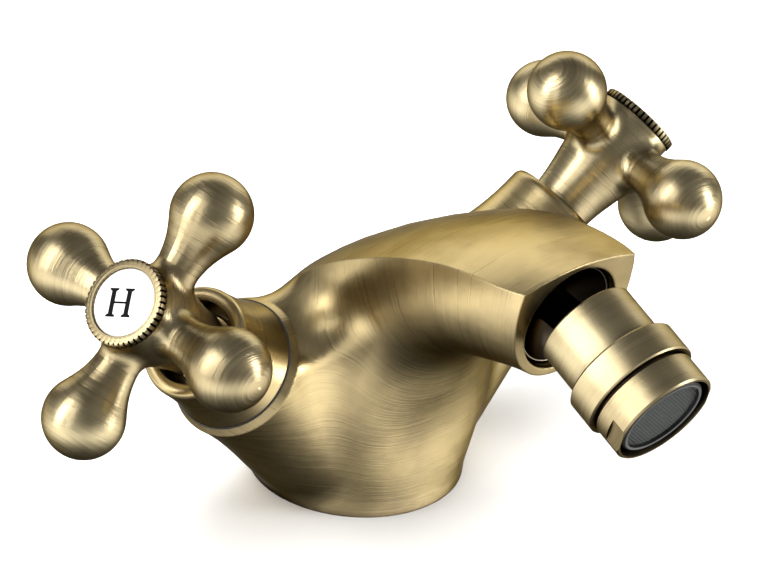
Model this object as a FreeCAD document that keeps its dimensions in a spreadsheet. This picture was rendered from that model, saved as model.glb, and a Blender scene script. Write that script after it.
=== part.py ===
"""Two-handle mixer tap with inclined cross handles and a ball-jointed outlet.

Millimetres and degrees. The origin is the centre of the round foot on the deck, +Z is up and the
spout points along -Y. The hot side is -X and the cold side is +X.
Each handle's pieces are turned about a local Z axis that runs outwards from the crossing point of
the two handle axes. The outlet's pieces are turned about the outlet axis, from the ball centre.
"""
import FreeCAD, Part
import math
import os
import re

import Sketcher
from FreeCAD import Vector

# ---------------------------------------------------------------------------------------------
# Driving dimensions
# ---------------------------------------------------------------------------------------------

SIZES = {
    # general fits
    "running_gap": 0.05,        # shaft in bore, radius
    "thread_gap": 0.1,          # screwed parts are modelled at this radial distance
    "easy_gap": 0.3,            # loose fit between neighbours
    # handle axes
    "axis_rise": 40.0,          # above the horizontal
    "axis_sweep": 6.5,          # towards the front
    "axis_cross_y": 2.0,
    "axis_cross_z": 5.5,
    # bosses
    "boss_radius": 15.0,
    "boss_length": 48.9,        # crossing point to the outer edge of the boss
    "boss_root": 4.0,
    "bevel_height": 1.8,
    "bevel_inset": 1.2,
    "boss_blend": 13.0,
    "boss_swell": 2.4,          # growth of the radius at the root
    "swell_start": 44.0,        # from the crossing point, where it begins
    "swell_run": 36.0,
    "swell_across": 0.35,       # its direction: outwards, forwards and down
    "swell_forward": -0.78,
    "swell_down": -0.52,
    # sections of the casting turn about this line, parallel to X at deck level
    "hinge_y": -50.3,
    # valve bore, measured along the handle axis
    "seat_level": 33.0,
    "valve_bore": 9.0,
    "chamber_radius": 10.0,
    "chamber_start": 35.0,
    "chamber_length": 7.0,
    # waterways
    "passage_radius": 4.0,
    "passage_start": 12.0,
    "inlet_x": 8.5,
    "inlet_y": 4.0,
    "inlet_thread": 4.5,
    "inlet_depth": 10.0,
    "inlet_height": 13.0,
    "mixing_height": 36.0,
    "mixing_reach": 22.0,
    "spout_passage": 5.5,
    "stud_hole": 3.4,
    "stud_hole_y": -11.0,
    "stud_hole_depth": 14.0,
    # foot seal
    "foot_seal_inner": 17.5,
    "foot_seal_outer": 20.5,
    "foot_seal_height": 1.9,
    # mouth
    "mouth_bore": 12.0,
    "bore_taper": 0.5,
    "bore_neck": 9.6,
    "bore_drop": 11.0,          # bore centre below the mouth's top corners
    "ball_reach": 11.2,         # ball centre in front of the mouth
    # handle
    "arm_level": 83.7,          # crossing point to the plane of the arms
    "arm_reach": 23.9,          # axis to the centre of each ball end
    "handle_turn": 3.6,         # arms from the horizontal, about the handle axis
    "knob_radius": 8.55,
    "neck_radius": 4.7,
    "neck_end": 11.5,           # axis to where each neck starts to swell
    "hub_radius": 9.3,
    "hub_top": 7.4,             # above the plane of the arms
    "skirt_drop": 17.5,         # below the plane of the arms
    "skirt_radius": 7.1,
    "arm_blend": 3.5,
    "cup_radius": 7.6,
    "cup_depth": 3.4,
    "web_thickness": 3.0,
    # index button
    "bezel_radius": 9.1,
    "bezel_height": 2.0,
    "bezel_spigot": 2.6,
    "bezel_wall": 1.1,
    "disc_radius": 7.1,
    "disc_thickness": 1.2,
    "disc_sink": 0.25,
    "knurl_count": 46,
    "knurl_depth": 0.45,
    # handle screw
    "screw_radius": 2.4,
    "screw_length": 14.0,
    "screw_head_radius": 4.4,
    "screw_head_height": 2.4,
    # spindle
    "spindle_radius": 4.0,
    "driver_radius": 6.6,
    "driver_height": 2.5,
    "ring_section": 0.85,
    "clip_thickness": 0.8,
    "clip_radius": 5.6,
    "clip_groove": 3.2,
    # valve discs
    "plate_radius": 6.6,
    "plate_thickness": 1.5,
    "plate_film": 0.05,
    "plate_port": 1.9,
    "plate_port_offset": 3.6,
    "seat_ring_height": 1.2,
    "seat_ring_hole": 4.6,
    # headwork
    "gland_cavity": 7.2,
    "gland_rise": 11.3,         # top of its neck above the boss
    "upper_ring_drop": 8.0,     # seal rings below that top
    "lower_ring_drop": 16.0,
    "gland_neck": 7.4,
    "hex_flats": 18.0,
    "hex_height": 5.4,
    "window_width": 7.0,
    "washer_thickness": 0.8,
    "washer_radius": 11.6,
    # shroud
    "shroud_base": 13.8,
    "shroud_wall": 1.4,
    "shroud_length": 16.2,
    "shroud_waist": 12.0,
    "shroud_mouth": 9.0,
    "shroud_web": 1.6,
    # ball joint
    "outlet_droop": 22.65,      # outlet axis below the horizontal, at rest
    "ball_radius": 8.0,
    "ball_neck": 3.8,
    "ball_bore": 2.8,
    "bush_thickness": 1.25,
    "bush_top": 5.8,
    "bush_bottom": 0.3,
    "dish_radius": 17.0,
    "flange_radius": 11.2,
    "flange_edge": 14.2,
    "flange_back": 19.0,
    "stud_seal_thickness": 1.0,
    "stud_thread": 8.0,
    "stud_thread_length": 10.0,
    # swivel sleeve, levels from the ball centre
    "sleeve_radius": 10.53,
    "sleeve_rim": 7.2,
    "sleeve_lip_radius": 7.2,
    "sleeve_step": 4.25,
    "ring_radius": 12.47,
    "ring_end": 11.4,
    "outlet_thread": 10.95,
    "seal_level": 3.3,
    "seal_height": 1.6,
    "retainer_height": 1.6,
    "retainer_bore": 6.9,
    # aerator
    "aerator_radius": 11.57,
    "aerator_start": 11.95,
    "aerator_end": 19.05,
    "aerator_washer": 1.2,
    "insert_radius": 10.0,
    "insert_nose": 9.7,
    "insert_start": 8.0,
    "insert_shoulder": 15.6,
    "insert_end": 18.5,
    "mesh_radius": 8.7,
    "mesh_thickness": 0.5,
    "mesh_sink": 0.5,
    "flat_distance": 11.0,
    "flat_length": 3.6,
    "flat_turn": 12.0,
}

# Sections of the cast body, from the foot to the mouth. Each lies in a plane through the hinge
# line: its angle above the deck, the distance from the hinge to its widest level, its half width
# there, its depth below and height above that level, the half width and the rise of its top
# corners, the arch of the top between them, how sharp the corners are (0 to 1), and how square
# the lower half is (2 is an ellipse).
SECTION_COLUMNS = ("angle", "level", "half", "below", "above", "corner", "rise", "arch", "crease", "square")
SECTIONS = {
    "foot": (0, 50.3, 23.2, 23.2, 23.2, 9.8, 0, 0, 0, 2.0),
    "ankle": (12, 52.4, 23.6, 24.5, 22.8, 10.5, 0, 0, 0, 2.3),
    "waist": (26, 56.4, 24.0, 26.2, 19.6, 13.5, 0, 0, 0, 2.8),
    "saddle": (40, 60.9, 24.0, 26.4, 15.5, 19.5, 13.0, 1.4, 0.65, 2.9),
    "shoulder": (52, 63.8, 20.6, 24.6, 14.0, 18.4, 8.4, 2.2, 1, 2.5),
    "back": (64, 65.1, 18.9, 19.8, 14.0, 18.3, 6.8, 2.1, 1, 2.2),
    "bridge": (76, 66.8, 18.2, 18.6, 14.0, 17.8, 6.0, 2.1, 1, 2.2),
    "brow": (88, 69.0, 17.2, 19.2, 14.0, 16.9, 5.2, 2.2, 1, 2.25),
    "mouth": (98.5, 71.7, 15.4, 19.9, 14.0, 14.9, 4.5, 2.2, 1, 2.3),
}

os.makedirs("parts", exist_ok=True)
doc = FreeCAD.newDocument("CrossHandleTap")
sheet = doc.addObject("Spreadsheet::Sheet", "Sizes")


def fill_sheet():
    """Write every driving dimension into the sheet as a plain number with an alias."""
    cells = dict(SIZES)
    for station, values in SECTIONS.items():
        for column, value in zip(SECTION_COLUMNS, values):
            cells[f"{station}_{column}"] = value
    for row, (alias, value) in enumerate(cells.items(), 1):
        sheet.set(f"A{row}", alias)
        sheet.set(f"B{row}", str(value))
        sheet.setAlias(f"B{row}", alias)
    doc.recompute()
    return {alias: float(sheet.get(alias)) for alias in cells}


size = fill_sheet()
WORD = re.compile(r"(?<![<.\w])[a-z]+(?:_[a-z]+)+")


def bound(text):
    """Point each alias in an expression at the sheet."""
    return WORD.sub(lambda word: "Sizes." + word.group(0), text)


def placement(x="0", y="0", z="0", yaw="0", pitch="0", roll="0"):
    """Expression of a placement: a position and three turns."""
    vector = f"create(<<vector>>; {x}; {y}; {z})"
    rotation = f"create(<<rotation>>; {yaw}; {pitch}; {roll})"
    return bound(f"create(<<placement>>; {vector}; {rotation})")


# Levels that follow from the driving dimensions, along the handle axis
BOSS_FACE = "(boss_length + bevel_height)"
FIXED_PLATE = "(seat_level + seat_ring_height)"
TURNING_PLATE = f"({FIXED_PLATE} + plate_thickness + plate_film)"
DRIVER = f"({TURNING_PLATE} + plate_thickness)"
DRIVER_TOP = f"({DRIVER} + driver_height)"
GLAND_TOP = f"({BOSS_FACE} + gland_rise)"
RING_LEVELS = {"lower": f"({GLAND_TOP} - lower_ring_drop)", "upper": f"({GLAND_TOP} - upper_ring_drop)"}
HEX_BASE = f"({BOSS_FACE} + washer_thickness)"
HEX_TOP = f"({HEX_BASE} + hex_height)"
SKIRT_END = "(arm_level - skirt_drop)"
HUB_FACE = "(arm_level + hub_top)"
CUP_FLOOR = f"({HUB_FACE} - cup_depth)"
SOCKET_END = f"({CUP_FLOOR} - web_thickness)"
BEZEL_TOP = f"({HUB_FACE} + bezel_height)"

# Levels along the outlet axis
BUSH_RADIUS = "(ball_radius + running_gap + bush_thickness)"
CAVITY_RADIUS = f"({BUSH_RADIUS} + running_gap)"
SEAL_END = "(seal_level + seal_height)"
RETAINER_END = f"({SEAL_END} + retainer_height)"
WASHER_END = f"({RETAINER_END} + aerator_washer)"

# Places in the middle plane
MOUTH_RHO = "(mouth_level + mouth_rise - bore_drop)"
MOUTH_Y = f"(hinge_y + {MOUTH_RHO} * cos(mouth_angle))"
MOUTH_Z = f"({MOUTH_RHO} * sin(mouth_angle))"
BALL_Y = f"({MOUTH_Y} - ball_reach * sin(mouth_angle))"
BALL_Z = f"({MOUTH_Z} + ball_reach * cos(mouth_angle))"

SEAL_SEAT = "(-flange_back - stud_seal_thickness)"

TURN_UPRIGHT = placement()
TURN_STUD = placement(y=BALL_Y, z=BALL_Z, roll="mouth_angle")
TURN_OUTLET = placement(y=BALL_Y, z=BALL_Z, roll="90 + outlet_droop")
SIDES = {
    "hot": placement(y="axis_cross_y", z="axis_cross_z", yaw="axis_sweep", pitch="axis_rise - 90")
    + " * " + placement(yaw="-handle_turn"),
    "cold": placement(y="axis_cross_y", z="axis_cross_z", yaw="-axis_sweep", pitch="90 - axis_rise")
    + " * " + placement(yaw="handle_turn"),
}

# ---------------------------------------------------------------------------------------------
# Ways of making a piece
# ---------------------------------------------------------------------------------------------

finished = []


def finish(piece, label, place):
    """Name a sub-part and put it in its place."""
    piece.Label = label
    piece.setExpression("Placement", place)
    finished.append(piece)
    return piece


def turned(name, profile):
    """Body of revolution about Z: the profile is a closed run of (radius, level) expressions."""
    body = doc.addObject("PartDesign::Body", name)
    sketch = body.newObject("Sketcher::SketchObject", name + "_profile")
    front = [o for o in body.Origin.OriginFeatures if o.Role == "XZ_Plane"][0]
    sketch.AttachmentSupport = (front, [""])
    sketch.MapMode = "FlatFace"
    count = len(profile)
    for i in range(count):
        sketch.addGeometry(Part.LineSegment(Vector(1 + i, 3 * i, 0), Vector(2 + i, 3 * i + 3, 0)))
    for i in range(count):
        sketch.addConstraint(Sketcher.Constraint("Coincident", i, 2, (i + 1) % count, 1))
    for i, (radius, level) in enumerate(profile):
        if radius == "0":
            sketch.addConstraint(Sketcher.Constraint("PointOnObject", i, 1, -2))
        else:
            index = sketch.addConstraint(Sketcher.Constraint("DistanceX", -1, 1, i, 1, 1.0))
            sketch.setExpression(f"Constraints[{index}]", bound(radius))
        if level == "0":
            sketch.addConstraint(Sketcher.Constraint("PointOnObject", i, 1, -1))
        else:
            index = sketch.addConstraint(Sketcher.Constraint("DistanceY", -1, 1, i, 1, 1.0))
            sketch.setExpression(f"Constraints[{index}]", bound(level))
    revolution = body.newObject("PartDesign::Revolution", name + "_turn")
    revolution.Profile = sketch
    revolution.ReferenceAxis = (sketch, ["V_Axis"])
    revolution.Angle = 360
    return body


def ring(name, inner, outer, low, high):
    """Flat ring between two radii and two levels."""
    if inner == "0":
        return turned(name, [("0", low), (outer, low), (outer, high), ("0", high)])
    return turned(name, [(inner, low), (outer, low), (outer, high), (inner, high)])


def primitive(kind, name, place=None, **expressions):
    """Part primitive with its sizes bound to the sheet."""
    piece = doc.addObject(kind, name)
    for prop, text in expressions.items():
        piece.setExpression(prop, bound(text))
    if place:
        piece.setExpression("Placement", place)
    return piece


def cylinder(name, radius, height, place=None):
    return primitive("Part::Cylinder", name, place, Radius=radius, Height=height)


def cut(name, base, *tools):
    """Base without the tools."""
    piece = doc.addObject("Part::Cut", name)
    piece.Base = base
    if len(tools) == 1:
        piece.Tool = tools[0]
    else:
        fused = doc.addObject("Part::MultiFuse", name + "_tools")
        fused.Shapes = list(tools)
        piece.Tool = fused
    return piece


def fuse(name, *pieces):
    piece = doc.addObject("Part::MultiFuse", name)
    piece.Shapes = list(pieces)
    piece.Refine = True
    return piece


def common(name, *pieces):
    piece = doc.addObject("Part::MultiCommon", name)
    piece.Shapes = list(pieces)
    return piece


def shaped(name, shape):
    """Feature whose shape is worked out below from the sheet."""
    piece = doc.addObject("Part::Feature", name)
    piece.Shape = shape
    return piece


def spline(points):
    curve = Part.BSplineCurve()
    curve.interpolate(points)
    return curve.toShape()


# ---------------------------------------------------------------------------------------------
# Cast body
# ---------------------------------------------------------------------------------------------

SWELL_STEPS = 5
FLANK_STEPS = 8
RISE_STEPS = 4
TOP_STEPS = 6


def section_wire(station):
    """One closed section: the top between its corners, and a flank on each side down to the keel.

    The flank is an ellipse above the widest level and a superellipse below it. The top is that
    ellipse carried on where the corner is soft, and a shallow parabola where it is a crease.
    """
    value = {column: size[f"{station}_{column}"] for column in SECTION_COLUMNS}
    angle = math.radians(value["angle"])
    half, corner, crease = value["half"], value["corner"], value["crease"]

    def point(x, rise):
        rho = value["level"] + rise
        return Vector(x, size["hinge_y"] + rho * math.cos(angle), rho * math.sin(angle))

    def round_top(x):
        return value["above"] * math.sqrt(1 - (x / half) ** 2)

    def flat_top(x):
        return value["rise"] + value["arch"] * (1 - (x / corner) ** 2)

    corner_rise = (1 - crease) * round_top(corner) + crease * value["rise"]
    flank_height = corner_rise / math.sqrt(1 - (corner / half) ** 2)
    start = math.asin(corner_rise / flank_height)
    flank = []
    for step in range(RISE_STEPS + 1):
        turn = start * (1 - step / RISE_STEPS)
        flank.append((half * math.cos(turn), flank_height * math.sin(turn)))
    power = 2 / value["square"]
    for step in range(1, FLANK_STEPS):
        turn = math.pi / 2 * step / FLANK_STEPS
        flank.append((half * math.cos(turn) ** power, -value["below"] * math.sin(turn) ** power))
    flank.append((0, -value["below"]))
    top = []
    for step in range(TOP_STEPS + 1):
        x = corner * (2 * step / TOP_STEPS - 1)
        top.append(point(x, (1 - crease) * round_top(x) + crease * flat_top(x)))
    right = [point(x, rise) for x, rise in flank]
    left = [point(-x, rise) for x, rise in reversed(flank)]
    return Part.Wire([spline(top), spline(right), spline(left)])


def handle_axis(side):
    """Unit vector of a handle axis, pointing out of the body."""
    rise, sweep = math.radians(size["axis_rise"]), math.radians(size["axis_sweep"])
    return Vector(side * math.cos(rise) * math.cos(sweep), -math.cos(rise) * math.sin(sweep), math.sin(rise))


def boss_solid(side):
    """Inclined boss: round at its bevelled outer edge, swelling forwards and down towards its root."""
    crossing = Vector(0, size["axis_cross_y"], size["axis_cross_z"])
    axis = handle_axis(side)
    across = Vector(side * size["swell_across"], size["swell_forward"], size["swell_down"])
    swell_way = (across - axis * across.dot(axis)).normalize()
    root, edge = size["boss_root"], size["boss_length"]
    rings = []
    for step in range(SWELL_STEPS + 1):
        level = root + (edge - root) * step / SWELL_STEPS
        share = min(1, max(0, (size["swell_start"] - level) / size["swell_run"]))
        growth = size["boss_swell"] * share * share * (3 - 2 * share)
        circle = Part.makeCircle(size["boss_radius"] + growth, crossing + axis * level + swell_way * growth, axis)
        rings.append(Part.Wire(circle))
    barrel = Part.makeLoft(rings, True, False)
    face_radius = size["boss_radius"] - size["bevel_inset"]
    bevel = Part.makeCone(size["boss_radius"], face_radius, size["bevel_height"], crossing + axis * edge, axis)
    return barrel.fuse(bevel)


def lies_on(edge, shape):
    """True when the ends and the middle of an edge are all on a shape's surface."""
    first, last = edge.FirstParameter, edge.LastParameter
    points = [edge.valueAt(first + (last - first) * share) for share in (0.1, 0.5, 0.9)]
    return all(Part.Vertex(point).distToShape(shape.Shells[0])[0] < 0.001 for point in points)


def casting_skin():
    """Solid of the foot, spout and bosses with their cast blends."""
    swan = Part.makeLoft([section_wire(station) for station in SECTIONS], True, False)
    reach = size["boss_length"] + size["boss_radius"]
    above_deck = Part.makeBox(2 * reach, 4 * reach, 2 * reach, Vector(-reach, -2 * reach, 0))
    bosses = [boss_solid(-1), boss_solid(1)]
    solid = swan.fuse(bosses).common(above_deck).removeSplitter()
    roots = [edge for edge in solid.Edges if lies_on(edge, swan) and any(lies_on(edge, boss) for boss in bosses)]
    return solid.makeFillet(size["boss_blend"], roots)


def body_casting():
    """Cast body with its valve bores, waterways, threaded holes, foot groove and mouth bore."""
    tools = []
    for side, place in SIDES.items():
        sign = "-" if side == "hot" else ""
        for name, radius, low, length in (
            ("valve_bore", "valve_bore", "seat_level", f"{BOSS_FACE} - seat_level + 1"),
            ("chamber", "chamber_radius", "chamber_start", "chamber_length"),
            ("seat_passage", "passage_radius", "passage_start", "seat_level - passage_start + 1"),
        ):
            bore = cylinder(f"{side}_{name}", radius, length)
            bore.setExpression("Placement", place + " * " + placement(z=low))
            tools.append(bore)
        at_inlet = {"x": sign + "inlet_x", "y": "inlet_y"}
        tools.append(cylinder(f"{side}_inlet", "passage_radius", "inlet_height", placement(**at_inlet)))
        tools.append(cylinder(f"{side}_inlet_thread", "inlet_thread", "inlet_depth + 1", placement(z="-1", **at_inlet)))
    tools.append(cylinder("mixing_passage", "passage_radius", "2 * mixing_reach",
                          placement(x="-mixing_reach", z="mixing_height", pitch="90")))
    spigot_y = f"({BALL_Y} + (flange_back + stud_thread_length) * sin(mouth_angle))"
    spigot_z = f"({BALL_Z} - (flange_back + stud_thread_length) * cos(mouth_angle))"
    rise = f"({spigot_z} - mixing_height)"
    tools.append(cylinder("spout_passage", "spout_passage", f"sqrt({spigot_y}^2 + {rise}^2)",
                          placement(z="mixing_height", roll=f"atan(-{spigot_y} / {rise})")))
    bore = turned("mouth_bore", [
        ("0", SEAL_SEAT), ("bore_neck", SEAL_SEAT), ("bore_neck", "-flange_back"),
        ("mouth_bore - bore_taper", "-flange_edge"), ("mouth_bore", "-ball_reach"),
        ("mouth_bore + 1", "-ball_reach + 5"), ("0", "-ball_reach + 5")])
    bore.setExpression("Placement", TURN_STUD)
    tools.append(bore)
    tools.append(cylinder("stud_thread_bore", "stud_thread", "stud_thread_length + 2",
                          TURN_STUD + " * " + placement(z="-flange_back - stud_thread_length - 1")))
    tools.append(cylinder("fixing_stud_hole", "stud_hole", "stud_hole_depth + 1", placement(y="stud_hole_y", z="-1")))
    tools.append(ring("foot_groove", "foot_seal_inner", "foot_seal_outer", "-1", "foot_seal_height + thread_gap"))
    skin = shaped("casting_skin", casting_skin())
    finish(cut("casting", skin, *tools), "body_casting", TURN_UPRIGHT)


def foot_seal():
    seal = ring("foot_seal", "foot_seal_inner + thread_gap", "foot_seal_outer - thread_gap", "thread_gap", "foot_seal_height")
    finish(seal, "foot_seal", TURN_UPRIGHT)


# ---------------------------------------------------------------------------------------------
# Handles
# ---------------------------------------------------------------------------------------------

ARM_COUNT = 4


def revolved(outline, start, axis):
    """Solid of revolution of a closed wire."""
    solid = Part.Face(outline).revolve(start, axis, 360)
    if solid.Volume < 0:
        solid.reverse()
    return solid


def hub_solid():
    """Hub of the cross: a skirt that flares up to the arms, and a cup above them."""
    level = size["arm_level"]
    low, high = level - size["skirt_drop"], level + size["hub_top"]
    skirt, hub = size["skirt_radius"], size["hub_radius"]
    flare = [
        Vector(skirt, 0, low),
        Vector(skirt + 0.12 * (hub - skirt), 0, low + 0.2 * size["skirt_drop"]),
        Vector(skirt + 0.55 * (hub - skirt), 0, low + 0.5 * size["skirt_drop"]),
        Vector(hub, 0, level - 0.15 * size["skirt_drop"]),
        Vector(hub - 0.35, 0, level + 0.5 * size["hub_top"]),
        Vector(hub - 0.4, 0, high),
    ]
    sides = [spline(flare), Part.makeLine(flare[-1], Vector(0, 0, high)),
             Part.makeLine(Vector(0, 0, high), Vector(0, 0, low)), Part.makeLine(Vector(0, 0, low), flare[0])]
    return revolved(Part.Wire(sides), Vector(0, 0, 0), Vector(0, 0, 1))


def arm_solid():
    """Pear-shaped arm along X: a neck that swells smoothly into a ball end."""
    reach, ball, neck = size["arm_reach"], size["knob_radius"], size["neck_radius"]
    start = size["knob_radius"] * 0.5
    joint = math.radians(118)       # where the swell meets the ball, from the arm's tip
    joint_point = Vector(reach + ball * math.cos(joint), 0, ball * math.sin(joint))
    neck_end = size["neck_end"]
    middle_x = 0.45 * joint_point.x + 0.55 * neck_end
    swell = Part.BSplineCurve()
    swell.interpolate(
        Points=[Vector(neck_end, 0, neck), Vector(middle_x, 0, neck + 0.27 * (joint_point.z - neck)), joint_point],
        InitialTangent=Vector(1, 0, 0.12), FinalTangent=Vector(math.sin(joint), 0, -math.cos(joint)))
    tip = Vector(reach + ball, 0, 0)
    over = Vector(reach + ball * math.cos(joint / 2), 0, ball * math.sin(joint / 2))
    sides = [Part.makeLine(Vector(start, 0, 0), Vector(start, 0, neck)),
             Part.makeLine(Vector(start, 0, neck), Vector(neck_end, 0, neck)), swell.toShape(),
             Part.Arc(joint_point, over, tip).toShape(), Part.makeLine(tip, Vector(start, 0, 0))]
    return revolved(Part.Wire(sides), Vector(0, 0, 0), Vector(1, 0, 0))


def cross_solid():
    """Hub and four arms, blended where they meet."""
    solid = hub_solid()
    arm = arm_solid()
    arms = []
    for index in range(ARM_COUNT):
        turned_arm = arm.copy()
        turned_arm.rotate(Vector(0, 0, 0), Vector(0, 0, 1), 360 / ARM_COUNT * index)
        turned_arm.translate(Vector(0, 0, size["arm_level"]))
        arms.append(turned_arm)
    solid = solid.fuse(arms).removeSplitter()
    roots = [edge for edge in solid.Edges if is_arm_root(edge, solid)]
    return solid.makeFillet(size["arm_blend"], roots)


def is_arm_root(edge, shape):
    """True for an edge between the hub's surface and an arm's round neck."""
    kinds = [type(face.Surface).__name__ for face in shape.Faces if any(e.isSame(edge) for e in face.Edges)]
    middle = edge.valueAt((edge.FirstParameter + edge.LastParameter) / 2)
    halfway_out = (size["hub_radius"] + size["neck_end"]) / 2
    return len(kinds) == 2 and kinds.count("Cylinder") == 1 and math.hypot(middle.x, middle.y) < halfway_out


def handle(side, place, cross):
    """Cross handle with its spline socket, screw hole and cup for the index button."""
    blank = shaped(f"{side}_cross", cross)
    socket = ring(f"{side}_socket", "0", "spindle_radius + running_gap", f"{SKIRT_END} - 1", SOCKET_END)
    relief = ring(f"{side}_relief", "0", "gland_neck - 1.6", f"{SKIRT_END} - 1", f"{SKIRT_END} + 2.5")
    hole = ring(f"{side}_screw_hole", "0", "screw_radius + easy_gap", f"{SOCKET_END} - 1", f"{CUP_FLOOR} + 1")
    cup = ring(f"{side}_cup", "0", "cup_radius", CUP_FLOOR, f"{HUB_FACE} + 1")
    finish(cut(f"{side}_handle_cut", blank, socket, relief, hole, cup), f"{side}_handle", place)


def knurl(body, name):
    """Straight knurl round the rim of a bezel: one V-shaped notch, repeated about the axis."""
    sketch = body.newObject("Sketcher::SketchObject", name + "_profile")
    flat = [o for o in body.Origin.OriginFeatures if o.Role == "XY_Plane"][0]
    sketch.AttachmentSupport = (flat, [""])
    sketch.MapMode = "FlatFace"
    sketch.setExpression("AttachmentOffset.Base.z", bound(BEZEL_TOP))
    opening = "(knurl_depth * 1.3 + pi * bezel_radius / knurl_count * 0.45)"
    corners = [("(bezel_radius - knurl_depth)", "0"), ("(bezel_radius + knurl_depth)", opening),
               ("(bezel_radius + knurl_depth)", f"-{opening}")]
    for i in range(3):
        sketch.addGeometry(Part.LineSegment(Vector(8 + i, i, 0), Vector(9 + i, 2 - i, 0)))
    for i in range(3):
        sketch.addConstraint(Sketcher.Constraint("Coincident", i, 2, (i + 1) % 3, 1))
    for i, (x, y) in enumerate(corners):
        index = sketch.addConstraint(Sketcher.Constraint("DistanceX", -1, 1, i, 1, 1.0))
        sketch.setExpression(f"Constraints[{index}]", bound(x))
        if y == "0":
            sketch.addConstraint(Sketcher.Constraint("PointOnObject", i, 1, -1))
        else:
            index = sketch.addConstraint(Sketcher.Constraint("DistanceY", -1, 1, i, 1, 1.0))
            sketch.setExpression(f"Constraints[{index}]", bound(y))
    doc.recompute()
    notch = body.newObject("PartDesign::Pocket", name + "_notch")
    notch.Profile = sketch
    notch.setExpression("Length", bound("bezel_height"))
    body.Tip = notch
    doc.recompute()
    axis = [o for o in body.Origin.OriginFeatures if o.Role == "Z_Axis"][0]
    teeth = body.newObject("PartDesign::PolarPattern", name + "_teeth")
    teeth.Originals = [notch]
    teeth.Axis = (axis, [""])
    teeth.Angle = 360
    teeth.setExpression("Occurrences", bound("knurl_count"))
    body.Tip = teeth


def index_button(side, place):
    """Bezel with a spigot that pushes into the cup, and the disc that it frames."""
    recess = f"({BEZEL_TOP} - disc_sink - disc_thickness)"
    spigot = "(cup_radius - running_gap)"
    bezel = turned(f"{side}_bezel", [
        (f"{spigot} - bezel_wall", f"{HUB_FACE} - bezel_spigot"), (spigot, f"{HUB_FACE} - bezel_spigot"),
        (spigot, HUB_FACE), ("bezel_radius", HUB_FACE), ("bezel_radius", f"{BEZEL_TOP} - 0.4"),
        ("bezel_radius - 0.6", BEZEL_TOP), ("disc_radius + running_gap", BEZEL_TOP),
        ("disc_radius + running_gap", recess), (f"{spigot} - bezel_wall", recess)])
    knurl(bezel, f"{side}_knurl")
    finish(bezel, f"{side}_index_bezel", place)
    disc = turned(f"{side}_disc", [
        ("0", recess), ("disc_radius", recess), ("disc_radius", f"{recess} + disc_thickness - 0.3"),
        ("disc_radius - 0.5", f"{recess} + disc_thickness"), ("0", f"{recess} + disc_thickness + 0.1")])
    finish(disc, f"{side}_index_disc", place)


def handle_screw(side, place):
    top = f"({CUP_FLOOR} + screw_head_height)"
    screw = turned(f"{side}_screw", [
        ("0", f"{CUP_FLOOR} - screw_length"), ("screw_radius", f"{CUP_FLOOR} - screw_length"),
        ("screw_radius", CUP_FLOOR), ("screw_head_radius", CUP_FLOOR),
        ("screw_head_radius", f"{top} - 0.6"), ("screw_head_radius - 0.6", top), ("0", top)])
    slot = primitive("Part::Box", f"{side}_screw_slot", Length="2 * screw_head_radius + 2", Width="1.2", Height="2")
    slot.setExpression("Placement", placement(x="-screw_head_radius - 1", y="-0.6", z=f"{top} - 1.1"))
    finish(cut(f"{side}_screw_cut", screw, slot), f"{side}_handle_screw", place)


# ---------------------------------------------------------------------------------------------
# Headworks
# ---------------------------------------------------------------------------------------------

GROOVE_RADIUS = "(spindle_radius - 2 * ring_section)"


def spindle(side, place):
    """Spindle with the driver for the turning plate, two seal grooves, a clip groove and a tapped top."""
    profile = [("0", DRIVER), ("driver_radius", DRIVER), ("driver_radius", DRIVER_TOP), ("spindle_radius", DRIVER_TOP)]
    for level in RING_LEVELS.values():
        for radius, step in (("spindle_radius", "-"), (GROOVE_RADIUS, "-"), (GROOVE_RADIUS, "+"), ("spindle_radius", "+")):
            profile.append((radius, f"{level} {step} ring_section {step} running_gap"))
    clip_level = f"({GLAND_TOP} + running_gap)"
    for radius, step in (("spindle_radius", ""), ("clip_groove", ""), ("clip_groove", " + clip_thickness"),
                         ("spindle_radius", " + clip_thickness")):
        profile.append((radius, clip_level + step))
    tip = f"({SOCKET_END} - easy_gap)"
    profile += [("spindle_radius", f"{tip} - 0.6"), ("spindle_radius - 0.6", tip),
                ("screw_radius + thread_gap", tip), ("screw_radius + thread_gap", f"{CUP_FLOOR} - screw_length - 1"),
                ("0", f"{CUP_FLOOR} - screw_length - 2")]
    finish(turned(f"{side}_spindle_turning", profile), f"{side}_spindle", place)


def spindle_rings(side, place):
    """The two seal rings in the spindle's grooves, as separate solids of one node."""
    rings = []
    for name, level in RING_LEVELS.items():
        torus = primitive("Part::Torus", f"{side}_{name}_ring", placement(z=level),
                          Radius1=f"{GROOVE_RADIUS} + ring_section", Radius2="ring_section")
        rings.append(torus)
    both = doc.addObject("Part::Compound", f"{side}_rings")
    both.Links = rings
    finish(both, f"{side}_spindle_seals", place)


def spindle_clip(side, place):
    clip = ring(f"{side}_clip", "clip_groove", "clip_radius", f"{GLAND_TOP} + running_gap",
                f"{GLAND_TOP} + running_gap + clip_thickness")
    gap = primitive("Part::Box", f"{side}_clip_gap", Length="clip_radius + 1", Width="clip_groove", Height="5")
    gap.setExpression("Placement", placement(y="-clip_groove / 2", z=f"{GLAND_TOP} - 2"))
    finish(cut(f"{side}_clip_cut", clip, gap), f"{side}_spindle_clip", place)


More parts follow.
